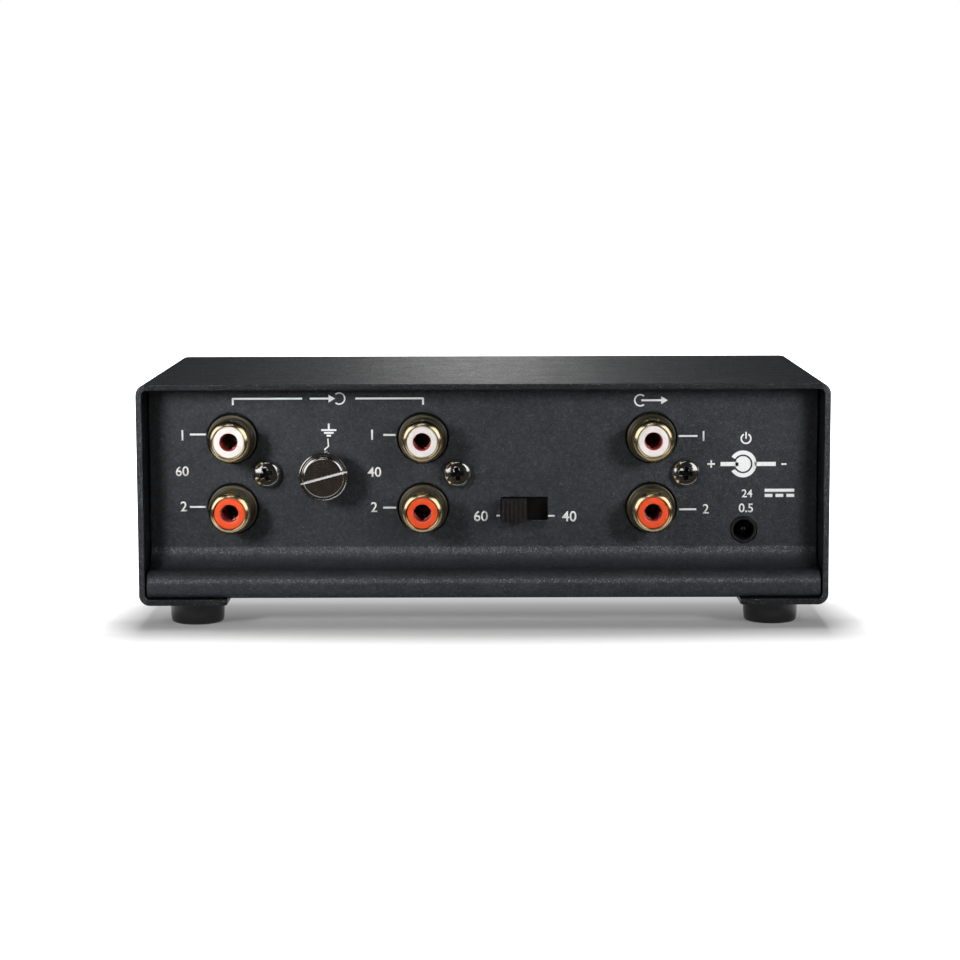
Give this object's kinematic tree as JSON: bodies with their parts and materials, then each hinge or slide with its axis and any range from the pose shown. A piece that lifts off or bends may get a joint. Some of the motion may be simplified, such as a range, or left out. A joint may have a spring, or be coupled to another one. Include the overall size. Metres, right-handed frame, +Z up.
{
  "type": "phono preamp",
  "caption": "Small phono preamp in a folded steel case on rubber feet: recessed panel with gold phono jacks, ground screw, slide switch and power inlet, and a circuit board inside.",
  "frame": {"origin": "on the rest plane of the feet, under the middle of the case", "axes": "+Z up, -Y out of the connector panel, +Y out of the front panel with the lamp, +X to the right of a person facing the connectors"},
  "size_m": [0.135, 0.072, 0.048],
  "materials": {
    "cover_paint": "fine-textured charcoal powder coat, satin, with a fine metallic glint",
    "chassis_paint": "fine-textured charcoal powder coat, satin, with a fine metallic glint",
    "foot_rubber": "moulded rubber, slightly glossy",
    "zinc_steel": "zinc-plated steel",
    "circuit_board": "green solder mask on glass laminate",
    "brass": "plain turned brass",
    "black_plastic": "moulded black plastic",
    "gold_shell": "gold-plated brass, polished",
    "white_insulator": "moulded off-white plastic",
    "red_insulator": "moulded orange-red plastic",
    "contact_gold": "plated spring bronze",
    "black_nickel": "glossy black nickel",
    "bright_nickel": "bright nickel plate",
    "tinned_steel": "tin plate",
    "wire_insulation": "green plastic insulation",
    "switch_steel": "zinc-plated sheet steel",
    "wafer_board": "brown pressed board",
    "knob_plastic": "moulded dark brown-black plastic, slightly glossy",
    "lamp_lens": "diffused green epoxy",
    "chip_plastic": "moulded epoxy",
    "supply_can": "shrink sleeve over aluminium",
    "coupling_can": "shrink sleeve over aluminium",
    "film_case": "moulded red case",
    "resistor_body": "lacquered blue body",
    "regulator_case": "moulded epoxy on a metal tab",
    "choke_wire": "ferrite drum with varnished wire"
  },
  "bodies": {
    "case": {"outer_cover": "cover_paint", "chassis": "chassis_paint", "foot_rear_left": "foot_rubber", "foot_rear_right": "foot_rubber", "foot_front_left": "foot_rubber", "foot_front_right": "foot_rubber", "foot_screws": "zinc_steel", "board_screws": "zinc_steel", "foot_nuts": "zinc_steel", "circuit_board": "circuit_board", "board_standoffs": "brass", "ground_bush": "brass", "jack_housing_1": "black_plastic", "jack_housing_2": "black_plastic", "jack_housing_3": "black_plastic", "inlet_housing": "black_plastic", "lamp_holder": "black_plastic", "jack_shell_upper_1": "gold_shell", "jack_shell_upper_2": "gold_shell", "jack_shell_upper_3": "gold_shell", "jack_shell_lower_1": "gold_shell", "jack_shell_lower_2": "gold_shell", "jack_shell_lower_3": "gold_shell", "jack_insulator_upper_1": "white_insulator", "jack_insulator_upper_2": "white_insulator", "jack_insulator_upper_3": "white_insulator", "jack_insulator_lower_1": "red_insulator", "jack_insulator_lower_2": "red_insulator", "jack_insulator_lower_3": "red_insulator", "jack_contacts_1": "contact_gold", "jack_contacts_2": "contact_gold", "jack_contacts_3": "contact_gold", "jack_screws": "black_nickel", "inlet_pin": "bright_nickel", "ground_nut": "tinned_steel", "ground_lug": "tinned_steel", "switch_terminals": "tinned_steel", "inlet_spring": "tinned_steel", "ground_wire": "wire_insulation", "switch_frame": "switch_steel", "switch_wafer": "wafer_board", "lamp": "lamp_lens", "amplifier_1": "chip_plastic", "amplifier_2": "chip_plastic", "amplifier_3": "chip_plastic", "transistors": "chip_plastic", "supply_diode": "chip_plastic", "supply_capacitors": "supply_can", "coupling_capacitors": "coupling_can", "film_capacitors": "film_case", "resistors": "resistor_body", "regulator": "regulator_case", "filter_chokes": "choke_wire"},
    "ground_washer": {"ground_washer": "bright_nickel"},
    "ground_screw": {"ground_screw": "bright_nickel"},
    "switch_slider": {"switch_slider": "knob_plastic", "switch_wipers": "contact_gold"}
  },
  "joints": [
    {"name": "ground_travel", "type": "slide", "parent": "case", "child": "ground_washer", "axis": [0, -1, 0], "range_m": [0, 0.0021]},
    {"name": "ground_turn", "type": "hinge", "parent": "ground_washer", "child": "ground_screw", "pos_m": [-0.0313, -0.0275, 0.0296], "axis": [0, -1, 0], "range_deg": [0, 1080]},
    {"name": "switch_slide", "type": "slide", "parent": "case", "child": "switch_slider", "axis": [1, 0, 0], "range_m": [0, 0.004]}
  ],
  "couplings": [
    {"joint": "ground_turn", "follows": "ground_travel", "rad_per_m": 8976}
  ]
}
